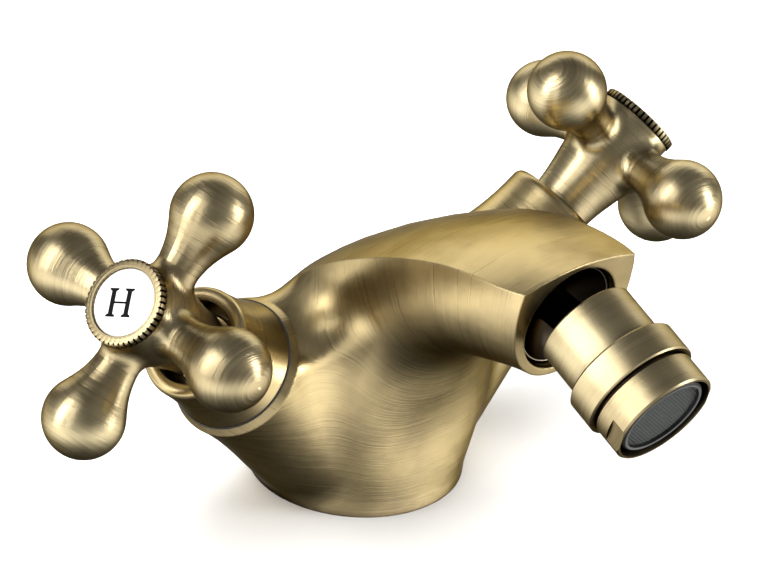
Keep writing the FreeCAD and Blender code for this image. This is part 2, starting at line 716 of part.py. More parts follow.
def gland(side, place):
    """Headwork body: threaded barrel with windows over the plates, hexagon and neck."""
    barrel = turned(f"{side}_gland_barrel", [
        ("gland_cavity", "seat_level + easy_gap"), ("valve_bore - thread_gap", "seat_level + easy_gap"),
        ("valve_bore - thread_gap", HEX_BASE), ("gland_neck", HEX_BASE), ("gland_neck", f"{GLAND_TOP} - 0.5"),
        ("gland_neck - 0.5", GLAND_TOP), ("spindle_radius + running_gap", GLAND_TOP),
        ("spindle_radius + running_gap", f"{DRIVER_TOP} + easy_gap"), ("gland_cavity", f"{DRIVER_TOP} + easy_gap")])
    hexagon = primitive("Part::Prism", f"{side}_hexagon", placement(z=HEX_BASE),
                        Circumradius="hex_flats / sqrt(3)", Height="hex_height")
    hexagon.Polygon = 6
    clear = cylinder(f"{side}_hexagon_bore", "gland_neck - 1", "hex_height + 2", placement(z=f"{HEX_BASE} - 1"))
    nut = cut(f"{side}_hexagon_ring", hexagon, clear)
    window = primitive("Part::Box", f"{side}_window", Length="4 * valve_bore", Width="window_width",
                       Height=f"{DRIVER_TOP} - {TURNING_PLATE}")
    window.setExpression("Placement", placement(x="-2 * valve_bore", y="-window_width / 2", z=TURNING_PLATE))
    finish(cut(f"{side}_gland_cut", fuse(f"{side}_gland_blank", barrel, nut), window), f"{side}_gland", place)


def gland_washer(side, place):
    washer = ring(f"{side}_washer", "valve_bore", "washer_radius", BOSS_FACE, HEX_BASE)
    finish(washer, f"{side}_gland_washer", place)


def valve_plate(side, place, name, level, along):
    """Ceramic plate with two ports along local X or Y."""
    plate = ring(f"{side}_{name}_blank", "0", "plate_radius", level, f"{level} + plate_thickness")
    ports = []
    for index, sign in enumerate(("", "-")):
        spot = {along: sign + "plate_port_offset"}
        ports.append(cylinder(f"{side}_{name}_port_{index}", "plate_port", "plate_thickness + 2",
                              placement(z=f"{level} - 1", **spot)))
    finish(cut(f"{side}_{name}_cut", plate, *ports), f"{side}_{name}_plate", place)


def seat_ring(side, place):
    seal = ring(f"{side}_seat_seal", "seat_ring_hole", "gland_cavity - easy_gap", "seat_level", FIXED_PLATE)
    finish(seal, f"{side}_seat_ring", place)


def shroud(side, place, bell):
    """Bell that screws down over the gland's neck and hides its hexagon."""
    web = ring(f"{side}_shroud_web", "gland_neck + thread_gap", "shroud_waist - 0.5", HEX_TOP,
               f"{HEX_TOP} + shroud_web")
    finish(fuse(f"{side}_shroud_fused", shaped(f"{side}_bell", bell), web), f"{side}_shroud", place)


def bell_solid():
    """Wall of the shroud: a slow concave flare outside, and a rounded rim round its mouth."""
    low = size["boss_length"] + size["bevel_height"]
    high = low + size["shroud_length"]
    base, waist, mouth, wall = size["shroud_base"], size["shroud_waist"], size["shroud_mouth"], size["shroud_wall"]
    length = size["shroud_length"]
    outer = [Vector(base, 0, low), Vector(base - 0.45 * (base - waist), 0, low + 0.22 * length),
             Vector(base - 0.85 * (base - waist), 0, low + 0.55 * length), Vector(waist, 0, low + 0.88 * length)]
    rim_outer = Vector(waist - 0.7, 0, high - 0.25)
    rim_inner = Vector(mouth, 0, high - 0.5)
    rim = Part.Arc(rim_outer, Vector((waist - 0.7 + mouth) / 2, 0, high), rim_inner).toShape()
    throat = Vector(waist - 1.9, 0, high - 0.35 * length)
    inner = [rim_inner, Vector(mouth + 0.1, 0, high - 0.12 * length), throat,
             Vector(base - wall - 0.5, 0, low + 0.3 * length), Vector(base - wall, 0, low)]
    sides = [spline(outer), spline([outer[-1], Vector(waist - 0.2, 0, high - 0.9), rim_outer]), rim, spline(inner),
             Part.makeLine(inner[-1], outer[0])]
    return revolved(Part.Wire(sides), Vector(0, 0, 0), Vector(0, 0, 1))


# ---------------------------------------------------------------------------------------------
# Ball-jointed outlet
# ---------------------------------------------------------------------------------------------


def ball_stud():
    """Threaded stud with a dished flange, a neck and the ball, bored through."""
    turning = turned("stud_turning", [
        ("0", "-flange_back - stud_thread_length"), ("stud_thread - thread_gap", "-flange_back - stud_thread_length"),
        ("stud_thread - thread_gap", "-flange_back"), ("bore_neck - easy_gap", "-flange_back"),
        ("flange_radius", "-flange_edge"), ("flange_radius", "-sqrt(dish_radius^2 - flange_radius^2)"),
        ("ball_neck + 1", "-ball_reach"), ("0", "-ball_reach")])
    dish = primitive("Part::Sphere", "stud_dish", Radius="dish_radius")
    neck = cylinder("stud_neck", "ball_neck", "dish_radius + 0.5", placement(z="-dish_radius - 0.5"))
    ball = primitive("Part::Sphere", "stud_ball", Radius="ball_radius")
    bore = cylinder("stud_bore", "ball_bore", "flange_back + stud_thread_length + ball_radius + 2",
                    placement(z="-flange_back - stud_thread_length - 1"))
    dished = cut("stud_dished", turning, dish)
    finish(cut("stud_bored", fuse("stud_blank", dished, neck, ball), bore), "ball_stud", TURN_STUD)


def stud_seal():
    seal = ring("stud_seal", "stud_thread - thread_gap", "bore_neck - easy_gap", SEAL_SEAT, "-flange_back")
    finish(seal, "stud_seal", TURN_STUD)


def ball_bush():
    """Bearing shell round the ball, a zone of a hollow sphere."""
    outside = primitive("Part::Sphere", "bush_outside", Radius=BUSH_RADIUS)
    inside = primitive("Part::Sphere", "bush_inside", Radius="ball_radius + running_gap")
    zone = cylinder("bush_zone", f"{BUSH_RADIUS} + 1", "bush_top + bush_bottom", placement(z="-bush_top"))
    shell = cut("bush_shell", outside, inside)
    finish(common("bush_common", shell, zone), "ball_bush", TURN_STUD)


def swivel_sleeve():
    """Sleeve with a spherical seat over the bush, open rim at the neck and thread at the outlet."""
    lip_level = f"sqrt({CAVITY_RADIUS}^2 - sleeve_lip_radius^2)"
    blank = turned("sleeve_blank", [
        ("sleeve_lip_radius", f"-{lip_level}"), ("sleeve_radius - 1.1", "-sleeve_rim"), ("sleeve_radius - 0.4", "-sleeve_rim"),
        ("sleeve_radius", "-sleeve_rim + 0.4"), ("sleeve_radius", "sleeve_step"), ("ring_radius - 0.5", "sleeve_step"),
        ("ring_radius", "sleeve_step + 0.5"), ("ring_radius", "ring_end - 0.3"), ("ring_radius - 0.3", "ring_end"),
        ("outlet_thread", "ring_end"), ("outlet_thread", RETAINER_END), (CAVITY_RADIUS, RETAINER_END),
        (CAVITY_RADIUS, "0.2"), ("sleeve_lip_radius", "0.2")])
    seat = primitive("Part::Sphere", "sleeve_seat", Radius=CAVITY_RADIUS)
    finish(cut("sleeve_cut", blank, seat), "swivel_sleeve", TURN_OUTLET)


def ball_seal():
    """Seal ring pressed against the ball from below."""
    blank = ring("ball_seal_blank", "retainer_bore - 1", f"{CAVITY_RADIUS} - running_gap", "seal_level", SEAL_END)
    ball = primitive("Part::Sphere", "ball_seal_seat", Radius="ball_radius + running_gap")
    finish(cut("ball_seal_cut", blank, ball), "ball_seal", TURN_OUTLET)


def seal_retainer():
    retainer = ring("retainer", "retainer_bore", f"{CAVITY_RADIUS} - running_gap", SEAL_END, RETAINER_END)
    slots = primitive("Part::Box", "retainer_slot", Length="4 * retainer_bore", Width="1.6", Height="1.2")
    slots.setExpression("Placement", placement(x="-2 * retainer_bore", y="-0.8", z=f"{RETAINER_END} - 0.8"))
    finish(cut("retainer_cut", retainer, slots), "seal_retainer", TURN_OUTLET)


def aerator_washer():
    washer = ring("aerator_washer", "retainer_bore + 0.6", "outlet_thread - thread_gap", RETAINER_END, WASHER_END)
    finish(washer, "aerator_washer", TURN_OUTLET)


def aerator_collar():
    """Aerator housing: male thread, plain collar, and two spanner flats at its end."""
    shell = turned("collar_turning", [
        ("insert_radius + thread_gap", WASHER_END), ("outlet_thread - thread_gap", WASHER_END),
        ("outlet_thread - thread_gap", "aerator_start"), ("aerator_radius - 0.3", "aerator_start"),
        ("aerator_radius", "aerator_start + 0.3"), ("aerator_radius", "aerator_end - 0.4"),
        ("aerator_radius - 0.3", "aerator_end"), ("insert_radius + 0.8", "aerator_end"),
        ("insert_radius + 0.8", "insert_shoulder"), ("insert_radius + thread_gap", "insert_shoulder")])
    flats = []
    for index, turn in enumerate(("180 + flat_turn", "flat_turn")):
        tool = primitive("Part::Box", f"flat_{index}", Length="aerator_radius", Width="4 * aerator_radius",
                         Height="flat_length + 1")
        spot = placement(x="flat_distance", y="-2 * aerator_radius", z="aerator_end - flat_length")
        tool.setExpression("Placement", placement(yaw=turn) + " * " + spot)
        flats.append(tool)
    finish(cut("collar_cut", shell, *flats), "aerator_collar", TURN_OUTLET)


def aerator_insert():
    """Moulded insert that carries the mesh, with its inner cone and cross web."""
    shell = turned("insert_turning", [
        ("mesh_radius - 1.5", "insert_start"), ("insert_radius", "insert_start"), ("insert_radius", "insert_shoulder"),
        ("insert_nose", "insert_shoulder"), ("insert_nose", "insert_end - 0.3"), ("insert_nose - 0.3", "insert_end"),
        ("mesh_radius", "insert_end"), ("mesh_radius", "insert_end - mesh_sink - mesh_thickness"),
        ("mesh_radius - 0.7", "insert_end - mesh_sink - mesh_thickness"), ("mesh_radius - 1.5", "insert_start + 3")])
    webs = []
    for index, turn in enumerate(("0", "90")):
        web = primitive("Part::Box", f"insert_web_{index}", Length="2 * mesh_radius - 2", Width="1", Height="2")
        web.setExpression("Placement", placement(yaw=turn) + " * " + placement(x="1 - mesh_radius", y="-0.5", z="insert_start + 0.5"))
        webs.append(web)
    finish(fuse("insert_fused", shell, *webs), "aerator_insert", TURN_OUTLET)


def aerator_mesh():
    mesh = ring("mesh", "0", "mesh_radius - running_gap", "insert_end - mesh_sink - mesh_thickness", "insert_end - mesh_sink")
    finish(mesh, "aerator_mesh", TURN_OUTLET)


# ---------------------------------------------------------------------------------------------
# Assembly
# ---------------------------------------------------------------------------------------------

body_casting()
foot_seal()
cross = cross_solid()
bell = bell_solid()
for side, place in SIDES.items():
    handle(side, place, cross)
    index_button(side, place)
    handle_screw(side, place)
    spindle(side, place)
    spindle_rings(side, place)
    spindle_clip(side, place)
    gland(side, place)
    gland_washer(side, place)
    valve_plate(side, place, "turning", TURNING_PLATE, "x")
    valve_plate(side, place, "fixed", FIXED_PLATE, "y")
    seat_ring(side, place)
    shroud(side, place, bell)
ball_stud()
stud_seal()
ball_bush()
swivel_sleeve()
ball_seal()
seal_retainer()
aerator_washer()
aerator_collar()
aerator_insert()
aerator_mesh()

doc.recompute()
failed = [item.Label for item in doc.Objects if "Invalid" in item.State or "Error" in item.State]
if failed:
    raise RuntimeError("not recomputed: " + ", ".join(failed))
for piece in finished:
    if piece.Shape.isNull() or not piece.Shape.isValid():
        raise RuntimeError("bad shape: " + piece.Label)
for piece in finished:
    piece.Shape.exportStep(f"parts/{piece.Label}.step")
    print(f"{piece.Label}: {len(piece.Shape.Solids)} solid(s), {piece.Shape.Volume:.1f} mm3")
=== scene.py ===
"""Looks of a two-handle mixer tap with cross handles: brushed brass, enamel index discs and a ball-jointed outlet."""
import math

import bpy
import numpy as np
from bpy.props import FloatProperty, FloatVectorProperty, IntProperty, PointerProperty
from mathutils import Matrix, Vector


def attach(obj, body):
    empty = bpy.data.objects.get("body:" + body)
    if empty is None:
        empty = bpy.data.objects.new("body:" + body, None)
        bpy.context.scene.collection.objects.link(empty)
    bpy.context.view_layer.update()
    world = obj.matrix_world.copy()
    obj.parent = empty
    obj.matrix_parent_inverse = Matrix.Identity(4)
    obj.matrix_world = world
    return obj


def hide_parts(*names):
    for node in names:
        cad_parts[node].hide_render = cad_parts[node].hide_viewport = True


bl_info = {
    "name": "Cross handle tap",
    "version": (1, 0, 0),
    "blender": (4, 5, 0),
    "location": "3D View > Sidebar > Tap",
    "description": "Finishes a mixer tap with cross handles: metal, index discs, knurled bezels and outlet",
    "category": "Add Mesh",
}

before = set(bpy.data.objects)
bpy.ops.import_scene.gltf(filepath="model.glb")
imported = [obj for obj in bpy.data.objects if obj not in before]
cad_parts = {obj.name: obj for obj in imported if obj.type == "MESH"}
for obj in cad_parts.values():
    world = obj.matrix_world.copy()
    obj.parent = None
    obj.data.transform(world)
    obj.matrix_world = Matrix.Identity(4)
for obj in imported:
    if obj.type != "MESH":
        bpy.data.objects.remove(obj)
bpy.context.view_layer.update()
MM = 0.001
SIDES = {"hot": -1, "cold": 1}
FINISH = {}

# Sizes of the part, in millimetres and degrees. The two handle axes cross inside the casting, and the casting's
# sections share one line across the tap, LOFT_LINE from the middle of the foot.
CROSSING = (0, 2, 5.5)
HANDLE_SWEEP = 6.5
HANDLE_LEAN = 50
HANDLE_TURN = 3.6
SHROUD_FOOT = 50.7
DISC_LEVEL = 92.8
LETTER_LEVEL = 92.97
LOFT_LINE = -50.3
MOUTH_ANGLE = 98.5
MOUTH_RADIUS = 65.2
BALL_REACH = 11.2
OUTLET_LEAN = 90 + 22.65
MESH_LEVEL = 17.75
SMOOTH_ANGLE = 30.0


def length(name, description, default):
    """Property that holds a length in metres."""
    return FloatProperty(name=name, description=description, default=default, min=0.0, precision=6,
                         subtype="DISTANCE", unit="LENGTH")


def colour(name, description, default):
    """Property that holds a colour."""
    return FloatVectorProperty(name=name, description=description, default=default, min=0.0, max=1.0, size=3,
                               subtype="COLOR")


def power(name, description, default):
    """Property that holds a light's power in watts."""
    return FloatProperty(name=name, description=description, default=default, min=0.0, unit="POWER")


class TAP_PG_metal(bpy.types.PropertyGroup):
    """Colours and brushing of the metal"""
    gold: colour("Rubbed brass", "Colour where the brass is rubbed bright", (0.54, 0.425, 0.215))
    handle: colour("Handle brass", "Colour where the handles and the outlet are rubbed", (0.53, 0.445, 0.262))
    bezel: colour("Bezel brass", "Colour of the bezels where they are rubbed", (0.36, 0.30, 0.17))
    brown: colour("Brown lacquer", "Colour where the lacquer lies thicker", (0.34, 0.265, 0.145))
    # Colour that corners are darkened to: partly tarnish in the hollows, partly painted shade between parts that come
    # close.
    patina_and_shade: colour("Patina", "Colour of the dark left in corners", (0.07, 0.05, 0.03))
    # The groove colour is painted shade: the knurl grooves and the bezel's foot are darkened to it.
    groove: colour("Groove", "Colour of the dark left in the knurling", (0.012, 0.010, 0.008))
    # The stud's near-black colour is partly painted shade: it stands for the dark deep in the mouth.
    stud: colour("Ball stud", "Colour of the dark polished stud inside the mouth", (0.035, 0.028, 0.02))
    rim: colour("Flange rim", "Colour of the rubbed rim of the stud's flange", (0.30, 0.26, 0.18))
    machined: colour("Machined brass", "Colour of the glands and the spindles", (0.62, 0.47, 0.22))
    roughness: FloatProperty(name="Roughness", description="Mean roughness of the brushed brass", default=0.3,
                             min=0.1, max=1.0, subtype="FACTOR")
    pitch: length("Line pitch", "Distance between brushed lines", 0.00023)
    relief: length("Line relief", "Height of the brushed lines on the casting and the turned parts", 0.00006)
    arm_relief: length("Arm line relief", "Height of the brushed lines on the handles", 0.0001)
    # How far the corner darkening reaches, tarnish and painted shade alike.
    crevice: length("Patina reach", "Distance from a corner that the patina reaches", 0.003)
    edge: length("Rubbed edge", "Radius that the casting's edges are rubbed to", 0.0006)


class TAP_PG_plastic(bpy.types.PropertyGroup):
    """Colours of the enamel, plastic and rubber"""
    enamel: colour("Enamel", "Colour of the index discs", (0.86, 0.86, 0.84))
    ink: colour("Ink", "Colour of the letters", (0.003, 0.003, 0.004))
    insert: colour("Aerator insert", "Colour of the insert's housing", (0.012, 0.012, 0.012))
    lip: colour("Aerator lip", "Colour of the lip round the mesh", (0.09, 0.095, 0.09))
    mesh: colour("Mesh", "Colour of the woven mesh", (0.10, 0.105, 0.10))
    rubber: colour("Rubber", "Colour of the seals and washers", (0.02, 0.02, 0.02))


class TAP_PG_index(bpy.types.PropertyGroup):
    """Sizes of the bezels and the letters"""
    teeth: IntProperty(name="Teeth", description="Number of teeth round a bezel", default=46, min=12, max=90)
    depth: length("Groove depth", "Depth of the grooves between the teeth", 0.0005)
    height: length("Letter height", "Height of the letters on the discs", 0.00596)
    stem: length("Stem width", "Width of a letter's thick strokes", 0.00106)
    serif: length("Serif height", "Height of a letter's serifs", 0.00036)


class TAP_PG_aerator(bpy.types.PropertyGroup):
    """Sizes of the woven mesh"""
    pitch: length("Mesh pitch", "Distance between neighbouring wires", 0.00043)
    wire: length("Wire", "Diameter of a wire", 0.00016)
    radius: length("Mesh radius", "Radius of the woven disc", 0.00866)


class TAP_PG_stage(bpy.types.PropertyGroup):
    """Colour and light of the stage"""
    floor: colour("Floor", "Colour of the floor", (0.92, 0.92, 0.92))
    left: power("Left box", "Power of the softbox at the left", 11.5)
    strip: power("Left strip", "Power of the strip light at the left", 2.6)
    right: power("Right box", "Power of the softbox at the right", 11.0)
    back: power("Back box", "Power of the softbox behind", 15.0)
    fill: power("Fill", "Power of the light over the floor", 100.0)


GROUPS = {"tap_metal": TAP_PG_metal, "tap_plastic": TAP_PG_plastic, "tap_index": TAP_PG_index,
          "tap_aerator": TAP_PG_aerator, "tap_stage": TAP_PG_stage}

# ---------------------------------------------------------------------------------------------
# Shader expressions
# ---------------------------------------------------------------------------------------------


class Signal:
    """A node's output that takes part in Python expressions on numbers."""

    def __init__(self, board, socket):
        self.board, self.socket = board, socket

    def __add__(self, other):
        return self.board.calc("ADD", self, other)

    def __sub__(self, other):
        return self.board.calc("SUBTRACT", self, other)

    def __rsub__(self, other):
        return self.board.calc("SUBTRACT", other, self)

    def __mul__(self, other):
        return self.board.calc("MULTIPLY", self, other)

    def __pow__(self, other):
        return self.board.calc("POWER", self, other)

    __radd__ = __add__
    __rmul__ = __mul__


class Board:
    """The node tree of a material or of the surround, and the ways of adding nodes to it."""

    def __init__(self, owner):
        owner.use_nodes = True
        self.owner, self.tree = owner, owner.node_tree
        self.tree.nodes.clear()

    def node(self, kind, settings=None, values=None, output=0):
        """Add a node: its settings first, then a value or a link for each socket named."""
        made = self.tree.nodes.new(kind)
        for key, value in (settings or {}).items():
            if key == "stops":
                ramp = made.color_ramp
                while len(ramp.elements) < len(value):
                    ramp.elements.new(0.5)
                for element, (place, tint) in zip(ramp.elements, value):
                    element.position = place
                    element.color = (*tint, 1)
            else:
                setattr(made, key, value)
        for key, value in (values or {}).items():
            if isinstance(value, Signal):
                self.tree.links.new(value.socket, made.inputs[key])
            else:
                made.inputs[key].default_value = value
        return Signal(self, made.outputs[output]) if made.outputs else None

    def calc(self, operation, *terms):
        """A Math node on its terms."""
        return self.node("ShaderNodeMath", {"operation": operation}, dict(enumerate(terms)))

    def place(self):
        """Position on the piece, in metres."""
        return self.node("ShaderNodeTexCoord", output="Object")

    def attribute(self, name):
        """A number kept at the piece's points."""
        return self.node("ShaderNodeAttribute", {"attribute_name": name}, output="Fac")

    def split(self, vector):
        """The three parts of a vector."""
        parts = self.node("ShaderNodeSeparateXYZ", None, {0: vector}).socket.node.outputs
        return [Signal(self, part) for part in parts]

    def join(self, x, y, z):
        """A vector from its three parts."""
        return self.node("ShaderNodeCombineXYZ", None, {0: x, 1: y, 2: z})

    def along(self, vector, direction):
        """Distance along a direction: the dot product."""
        return self.node("ShaderNodeVectorMath", {"operation": "DOT_PRODUCT"}, {0: vector, 1: direction}, "Value")

    def noise(self, vector, scale, detail=2.0, roughness=0.5):
        """Noise between 0 and 1."""
        values = {"Vector": vector, "Scale": scale, "Detail": detail, "Roughness": roughness}
        return self.node("ShaderNodeTexNoise", None, values, "Fac")

    def remap(self, value, low, high):
        """Share of the way from a low value to a high one, kept between 0 and 1."""
        return self.node("ShaderNodeMapRange", None, {"Value": value, "From Min": low, "From Max": high})

    def ramp(self, factor, *stops):
        """Colour that runs through stops of place and colour."""
        return self.node("ShaderNodeValToRGB", {"stops": stops}, {"Fac": factor}, "Color")

    def blend(self, factor, one, two):
        """Mix of two colours."""
        one, two = (c if isinstance(c, Signal) else (*c, 1) for c in (one, two))
        return self.node("ShaderNodeMix", {"data_type": "RGBA"}, {0: factor, 6: one, 7: two}, 2)

    def bump(self, height, distance, edge=0.0):
        """Relief in metres, over edges that are rounded by a radius if one is given."""
        values = {"Height": height, "Distance": distance, "Strength": 1.0}
        if edge:
            values["Normal"] = self.node("ShaderNodeBevel", {"samples": 4}, {"Radius": edge})
        return self.node("ShaderNodeBump", None, values)

    def finish(self, **sockets):
        """Close a material with the main shader. A socket's name has underscores for its spaces."""
        values = {key.replace("_", " "): value for key, value in sockets.items()}
        values = {key: (*v, 1) if isinstance(v, tuple) and len(v) == 3 else v for key, v in values.items()}
        self.node("ShaderNodeOutputMaterial", None,
                  {"Surface": self.node("ShaderNodeBsdfPrincipled", None, values)})
        return self.owner


# ---------------------------------------------------------------------------------------------
# Places
# ---------------------------------------------------------------------------------------------


def handle_frame(side):
    """Matrix of a handle: local Z runs outwards along its axis from the crossing point, and X to an arm."""
    sign = SIDES[side]
    sweep = Matrix.Rotation(math.radians(-HANDLE_SWEEP * sign), 4, "Z")
    lean = Matrix.Rotation(math.radians(HANDLE_LEAN * sign), 4, "Y")
    turn = Matrix.Rotation(math.radians(HANDLE_TURN * sign), 4, "Z")
    return Matrix.Translation(Vector(CROSSING) * MM) @ sweep @ lean @ turn


def ball_frame(lean):
    """Matrix about the ball's centre: local Z leans from the upright towards the front by an angle in degrees."""
    angle = math.radians(MOUTH_ANGLE)
    mouth = Vector((0, LOFT_LINE + MOUTH_RADIUS * math.cos(angle), MOUTH_RADIUS * math.sin(angle)))
    ball = mouth + BALL_REACH * Vector((0, -math.sin(angle), math.cos(angle)))
    return Matrix.Translation(ball * MM) @ Matrix.Rotation(math.radians(lean), 4, "X")


# ---------------------------------------------------------------------------------------------
# Finishes
# ---------------------------------------------------------------------------------------------

CLOUD_SCALE = 55.0
LACQUER_STOPS = (0.36, 0.6)
# Occlusion range over which corners darken: partly tarnish, partly painted shade.
PATINA_AND_SHADE_RANGE = (0.32, 0.95)
# Dark tint of the reflections at grazing angles: painted shade along the edges of the brass.
GRAZING_SHADE_TINT = (0.25, 0.22, 0.18)
ALONG_SCALE = 60.0
COARSE_SCALE = 0.31
CASTING_REACH = 0.06
RADIUS_SHARE = 0.8
HUB_RANGE = (0.0088, 0.0112)
PLAIN_RELIEF = 0.00001


def brass(name, streaks, look, relief, bright=None, soften=0.0, edge=0.0, grooves=False, alone=False):
    """Brushed brass under a brown lacquer: fine lines in colour, gloss and relief, soft clouds of darker tone at
    random, and corners darkened by occlusion, partly tarnish and partly painted shade, from other parts too unless
    alone; with grooves, the knurling's painted shade.
    """
    board = Board(bpy.data.materials.new(name))
    streak = streaks(board)
    cloud = board.noise(board.place(), CLOUD_SCALE, 3.0, 0.6) * 0.7 + streak * 0.3
    tone = board.ramp(cloud, (LACQUER_STOPS[0], look.brown), (LACQUER_STOPS[1], bright or look.gold))
    # Ambient occlusion paints shade into the colour: corners, steps and gaps go dark, partly as tarnish; unless
    # alone, other parts near by darken it too.
    openness = board.node("ShaderNodeAmbientOcclusion", {"samples": 6, "only_local": alone},
                          {"Distance": look.crevice}, "AO")
    tone = board.blend(board.remap(openness, *PATINA_AND_SHADE_RANGE), look.patina_and_shade, tone)
    # Painted shade of the bezels: grooves and foot darken to the groove colour.
    if grooves:
        tone = board.blend(board.attribute("groove"), tone, look.groove)
    return board.finish(Base_Color=tone, Metallic=1.0, Roughness=streak * 0.2 + (look.roughness - 0.1 + soften),
                        Specular_Tint=GRAZING_SHADE_TINT, Normal=board.bump(streak, relief, edge))


def lines(board, across, one, two):
    """Brushed lines: noise that changes fast across them and slowly along them, fine and coarse together."""
    pitch = bpy.context.scene.tap_metal.pitch
    vector = board.join(across * (1 / pitch), one * ALONG_SCALE, two * ALONG_SCALE)
    return board.noise(vector, 1.0, 2.0, 0.6) * 0.7 + board.noise(vector, COARSE_SCALE) * 0.3


def casting_streaks(board):
    """Lines round the cast body: across them runs the turn about the line that the sections share."""
    x, y, z = board.split(board.place())
    turn = board.calc("ARCTAN2", z, y - LOFT_LINE * MM)
    return lines(board, turn * CASTING_REACH, x, board.calc("SQRT", y * y + z * z))


def local_parts(board, matrix):
    """The three parts of the position in a turned frame."""
    inverse = matrix.inverted()
    return [board.along(board.place(), tuple(inverse[i][:3])) + inverse[i][3] for i in range(3)]


def turned_streaks(matrix):
    """Lines round an axis: across them run the level and the radius together."""

    def streaks(board):
        x, y, z = local_parts(board, matrix)
        radius = board.calc("SQRT", x * x + y * y)
        return lines(board, z + radius * RADIUS_SHARE, x, y)

    return streaks


def handle_streaks(matrix):
    """Lines round each arm beyond the hub, and round the handle's axis on the hub."""

    def streaks(board):
        x, y, z = local_parts(board, matrix)
        wide, deep = board.calc("ABSOLUTE", x), board.calc("ABSOLUTE", y)
        reach = board.calc("MAXIMUM", wide, deep)
        hub = lines(board, z, x, y)
        arm = lines(board, reach, board.calc("MINIMUM", wide, deep), z)
        return hub + board.remap(reach, *HUB_RANGE) * (arm - hub)

    return streaks


def plain(name, tint, roughness, metallic=0.0, speckle=0.06, scale=900.0, coat=0.0, specular=0.5, grazing=(1, 1, 1)):
    """Moulded or plated finish with a slight unevenness."""
    board = Board(bpy.data.materials.new(name))
    noise = board.noise(board.place(), scale)
    dark = tuple(c * (1 - speckle * 2) for c in tint)
    return board.finish(Base_Color=board.blend(noise, dark, tint), Roughness=noise * 0.1 + (roughness - 0.05),
                        Metallic=metallic, Coat_Weight=coat, Specular_IOR_Level=specular,
                        Specular_Tint=grazing, Normal=board.bump(noise, PLAIN_RELIEF))


def finishes(metal, plastic):
    """All the finishes, by name."""
    made = {
        "casting": brass("brushed_brass_casting", casting_streaks, metal, metal.relief, edge=metal.edge),
        "outlet": brass("brushed_brass_outlet", turned_streaks(ball_frame(OUTLET_LEAN)), metal, metal.relief,
                        metal.handle, soften=0.06),
    }
    for side in SIDES:
        round_arms, round_axis = handle_streaks(handle_frame(side)), turned_streaks(handle_frame(side))
        made[side] = brass(f"brushed_brass_{side}_handle", round_arms, metal, metal.arm_relief, metal.handle,
                           alone=True)
        made[side + "_turned"] = brass(f"brushed_brass_{side}_shroud", round_axis, metal, metal.relief)
        made[side + "_bezel"] = brass(f"brushed_brass_{side}_bezel", round_axis, metal, metal.relief, metal.bezel,
                                      grooves=True, alone=True)
    # A polished stud, made near black with a dark grazing tint to paint the shade deep in the mouth.
    made["dark"] = plain("dark_polished_brass", metal.stud, 0.25, 1.0, grazing=(0.1, 0.08, 0.07))
    made["rim"] = plain("rubbed_rim", metal.rim, 0.3, 1.0)
    made["spindle"] = plain("machined_brass", metal.machined, 0.3, 1.0)
    made["screw"] = plain("plated_steel", (0.6, 0.6, 0.58), 0.3, 1.0)
    made["enamel"] = plain("white_enamel", plastic.enamel, 0.15, speckle=0.01, scale=300.0, coat=0.5)
    made["ceramic"] = plain("ceramic", (0.82, 0.81, 0.77), 0.25)
    made["bearing"] = plain("bearing_plastic", (0.08, 0.08, 0.075), 0.4)
    made["insert"] = plain("black_plastic", plastic.insert, 0.5)
    made["lip"] = plain("grey_plastic", plastic.lip, 0.5, specular=0.3)
    made["mesh"] = plain("dark_mesh", plastic.mesh, 0.5, 0.5)
    made["ink"] = plain("black_ink", plastic.ink, 0.6, specular=0.1)
    made["rubber"] = plain("dark_rubber", plastic.rubber, 0.6)
    return made


def assign(nodes, finish):
    """Give a finish to CAD nodes through their material slots."""
    for node in nodes:
        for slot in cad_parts[node].material_slots:
            slot.material = FINISH[finish]


class TAP_OT_metal(bpy.types.Operator):
    """Give every CAD node its finish"""
    bl_idname = "tap.metal"
    bl_label = "Metal and plastic finishes"

    def execute(self, context):
        FINISH.update(finishes(context.scene.tap_metal, context.scene.tap_plastic))
        assign(["body_casting"], "casting")
        for side in SIDES:
            assign([f"{side}_handle"], side)
            assign([f"{side}_shroud", f"{side}_index_bezel"], side + "_turned")
            assign([f"{side}_{n}" for n in ("gland", "spindle")], "spindle")
            assign([f"{side}_{n}" for n in ("handle_screw", "spindle_clip")], "screw")
            assign([f"{side}_index_disc"], "enamel")
            assign([f"{side}_{n}" for n in ("turning_plate", "fixed_plate")], "ceramic")
            assign([f"{side}_{n}" for n in ("gland_washer", "seat_ring", "spindle_seals")], "rubber")
        assign(["swivel_sleeve", "aerator_collar"], "outlet")
        assign(["ball_stud"], "dark")
        assign(["ball_bush", "seal_retainer"], "bearing")
        assign(["aerator_insert"], "insert")
        assign(["aerator_mesh"], "mesh")
        assign(["foot_seal", "stud_seal", "ball_seal", "aerator_washer"], "rubber")
        return {"FINISHED"}


# ---------------------------------------------------------------------------------------------
# Surfaces
# ---------------------------------------------------------------------------------------------


def add_mesh(name, points, faces, matrix, finish, smooth=SMOOTH_ANGLE, groove=None):
    """Object at the origin whose points, in millimetres, are placed in its mesh."""
    rotation, shift = np.array(matrix.to_3x3()), np.array(matrix.translation)
    placed = points * MM @ rotation.T + shift
    mesh = bpy.data.meshes.new(name)
    mesh.from_pydata(placed.tolist(), [], faces)
    mesh.polygons.foreach_set("use_smooth", [smooth > 0] * len(mesh.polygons))
    mesh.set_sharp_from_angle(angle=math.radians(smooth))
    mesh.materials.append(FINISH[finish])
    if groove is not None:
        mesh.attributes.new("groove", "FLOAT", "POINT").data.foreach_set("value", groove.astype(np.float32))
    mesh.update()
    piece = bpy.data.objects.new(name, mesh)
    bpy.context.scene.collection.objects.link(piece)
    return piece


